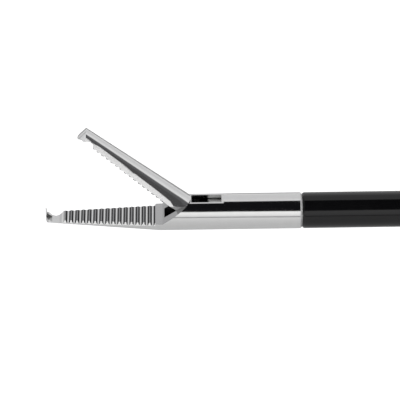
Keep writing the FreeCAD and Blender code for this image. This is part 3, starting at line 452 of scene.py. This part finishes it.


# %% Upper jaw
# The tang in the slot gets a faint near-black painted shade.
TANG = (0.3, (-0.0044, -0.00104, -0.0024), (0.0012, 0.00104, 0.0002))
SATIN_ALONG, SATIN_LIMIT, SATIN_EDGE = (-0.0030, -0.0175), (0.40, 0.68), 0.05
SIDE_BOTTOM, SIDE_FACING = (-0.45, -0.35), (0.30, 0.45)
UNDERSIDE = (-0.95, -0.985)


def upper_places(tree, where, facing):
    """Places of the raised jaw with painted shade, satin and ground finish. Its satin strip widens
    to the tip.
    """
    # Painted shade: groove walls and the tang are painted nearly black and made rough.
    dull_and_shade = math_node(tree, "MAXIMUM", groove_walls(tree, where, facing),
                     inside_box(tree, where, *TANG))
    limit = ramp(tree, where["X"], *SATIN_ALONG, *SATIN_LIMIT)
    below = ramp(tree, math_node(tree, "SUBTRACT", limit, facing["Z"]), 0.0, SATIN_EDGE)
    side = math_node(tree, "ABSOLUTE", facing["Y"])
    satin = times(tree, below, ramp(tree, facing["Z"], *SIDE_BOTTOM),
                  ramp(tree, side, *SIDE_FACING))
    return dull_and_shade, satin, ramp(tree, facing["Z"], *UNDERSIDE)


# %% [markdown]
# ## Finish of the two jaws
#
# The three kinds of place now meet in one material. Shaded places are rough and painted nearly
# black as painted shade, ground faces are a darker grey with a soft gloss, and satin places scatter
# most of the light, which the shader gives when it is mostly not metallic. Satin is painted lighter
# where it faces up and darker where it faces down, which is painted shade. A broad, very low wave
# under the belt lines keeps the reflections from looking ruled. The raised jaw's frame leans by its
# opening angle, because the scene shows it open.

# %% Jaw finish
# The near-black colour of the shaded places is painted shade; their roughness is the dull finish.
SHADE_PAINT_COLOR, DULL_ROUGHNESS = (0.016, 0.016, 0.017), 0.5
# Satin has a lit colour for faces that look up and a darker painted shade for faces that look down.
SATIN_LIT_COLOR, SATIN_SHADED_COLOR, SATIN_SHADE_TURN = (0.92, 0.92, 0.915), (0.58, 0.58, 0.585), (0.20, -0.10)
SATIN_SCATTER = 0.75
GROUND_COLOR, GROUND_ROUGHNESS = (0.31, 0.31, 0.315), 0.12
JAW_ROUGHNESS = (0.07, 0.15)
WAVE_SCALE, WAVE_HEIGHT = 150, 0.00003
OPEN_ANGLE = math.radians(43.2)


def jaw_finish(name, lean, places):
    """Polished steel with the painted-shade, satin and ground places of one jaw."""
    material, tree, shader = new_finish(name, POLISHED_LIGHT, 1.0, JAW_ROUGHNESS[1])
    where, facing = jaw_axes(tree, lean)
    dull_and_shade, satin, ground = places(tree, where, facing)

    clouds = grain(tree, CLOUD_SCALE, detail=2.0)
    color = blend_colors(tree, clouds, POLISHED_DARK, POLISHED_LIGHT)
    color = blend_colors(tree, ground, color, GROUND_COLOR)
    # Painted shade: satin is lighter where it faces up and darker where it faces down.
    satin_lit_and_shaded = blend_colors(tree, ramp(tree, facing["Z"], *SATIN_SHADE_TURN), SATIN_LIT_COLOR, SATIN_SHADED_COLOR)
    color = blend_colors(tree, satin, color, satin_lit_and_shaded)
    # Paint the shaded places nearly black: painted shade.
    color = blend_colors(tree, dull_and_shade, color, SHADE_PAINT_COLOR)
    tree.links.new(color, shader.inputs["Base Color"])

    satin = times(tree, satin, math_node(tree, "SUBTRACT", 1.0, dull_and_shade))
    metallic = math_node(tree, "SUBTRACT", 1.0, times(tree, satin, SATIN_SCATTER))
    tree.links.new(metallic, shader.inputs["Metallic"])

    lines = grain(tree, BELT_SCALE, BELT_STRETCH)
    polish = ramp(tree, lines, *NOISE_SPAN, *JAW_ROUGHNESS)
    rough = times(tree, math_node(tree, "MAXIMUM", dull_and_shade, satin), DULL_ROUGHNESS)
    rough = math_node(tree, "MAXIMUM", rough, times(tree, ground, GROUND_ROUGHNESS))
    tree.links.new(math_node(tree, "ADD", polish, rough), shader.inputs["Roughness"])

    waves = relief(tree, grain(tree, WAVE_SCALE, detail=1.0), WAVE_HEIGHT)
    tree.links.new(relief(tree, lines, BELT_HEIGHT, under=waves), shader.inputs["Normal"])
    return material


housing_steel = jaw_finish("jaw_housing_steel", 0.0, lower_places)
upper_jaw_steel = jaw_finish("upper_jaw_steel", OPEN_ANGLE, upper_places)
print("jaw opening, in degrees:", round(math.degrees(OPEN_ANGLE), 1))

# %% [markdown]
# ## Plastic and rubber finishes
#
# The black sleeve is a shrunk-on tube: glossy, nearly black, with a slight orange peel. The handle
# and the knob are moulded with a fine spark-eroded grain that breaks up the gloss. The cap and the
# seal are silicone, and the bearing is a pale polymer. One function makes them all, because they
# differ only in colour, gloss and the size of the grain.

# %% Plastic and rubber
SLEEVE_IOR = 1.45


def moulded(name, dark, light, roughness, scale, height):
    """A moulded polymer with an even grain."""
    material, tree, shader = new_finish(name, light, 0.0, roughness[1])
    pores = grain(tree, scale)
    tree.links.new(blend_colors(tree, pores, dark, light), shader.inputs["Base Color"])
    tree.links.new(ramp(tree, pores, *NOISE_SPAN, *roughness), shader.inputs["Roughness"])
    tree.links.new(relief(tree, pores, height), shader.inputs["Normal"])
    return material


black_sleeve = moulded("black_sleeve", (0.002, 0.002, 0.0022), (0.005, 0.005, 0.0055),
                       (0.07, 0.14), 350, 0.000006)
black_sleeve.node_tree.nodes["Principled BSDF"].inputs["IOR"].default_value = SLEEVE_IOR
handle_plastic = moulded("handle_plastic", (0.012, 0.012, 0.013), (0.03, 0.03, 0.032),
                         (0.42, 0.6), 2600, 0.00003)
knob_plastic = moulded("knob_plastic", (0.012, 0.012, 0.013), (0.028, 0.028, 0.03),
                       (0.36, 0.52), 2200, 0.00003)
silicone = moulded("silicone", (0.02, 0.02, 0.022), (0.05, 0.05, 0.053),
                   (0.5, 0.68), 1200, 0.00002)
seal_silicone = moulded("seal_silicone", (0.22, 0.05, 0.03), (0.34, 0.09, 0.05),
                        (0.5, 0.65), 1500, 0.00001)
bush_polymer = moulded("bush_polymer", (0.62, 0.6, 0.55), (0.76, 0.74, 0.69),
                       (0.35, 0.5), 1800, 0.00001)

# %% [markdown]
# ## Dress the pieces
#
# Every solid of the mechanism takes one finish, the hidden ones too, because they show when the
# tool is opened up or turned. Only the material slot changes; the mesh stays as it was loaded.

# %% Dress the pieces
FINISHES = {
    "jaw_housing": housing_steel, "upper_jaw": upper_jaw_steel,
    "jaw_link_left": milled_steel, "jaw_link_right": milled_steel, "rod_tip": blasted_steel,
    "jaw_pivot_pin": polished_steel, "crank_pin": ground_steel, "rod_tip_pin": ground_steel,
    "shaft_tube": drawn_steel, "pull_rod": drawn_steel, "rod_ball": ground_steel,
    "insulation_sleeve": black_sleeve,
    "flush_collar": turned_steel, "flush_cap": silicone,
    "shaft_hub": turned_steel, "hub_clip": ground_steel, "rod_seal": seal_silicone,
    "rotation_knob": knob_plastic, "knob_screw": ground_steel, "front_bush": bush_polymer,
    "handle_left": handle_plastic, "handle_right": handle_plastic,
    "handle_screw_1": ground_steel, "handle_screw_2": ground_steel, "handle_screw_3": ground_steel,
    "thumb_lever": handle_plastic, "lever_pin": ground_steel, "cautery_post": turned_steel,
}
for name, finish in FINISHES.items():
    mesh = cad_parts[name].data
    mesh.materials.clear()
    mesh.materials.append(finish)
print("pieces with a finish:", len(FINISHES), "of", len(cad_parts))
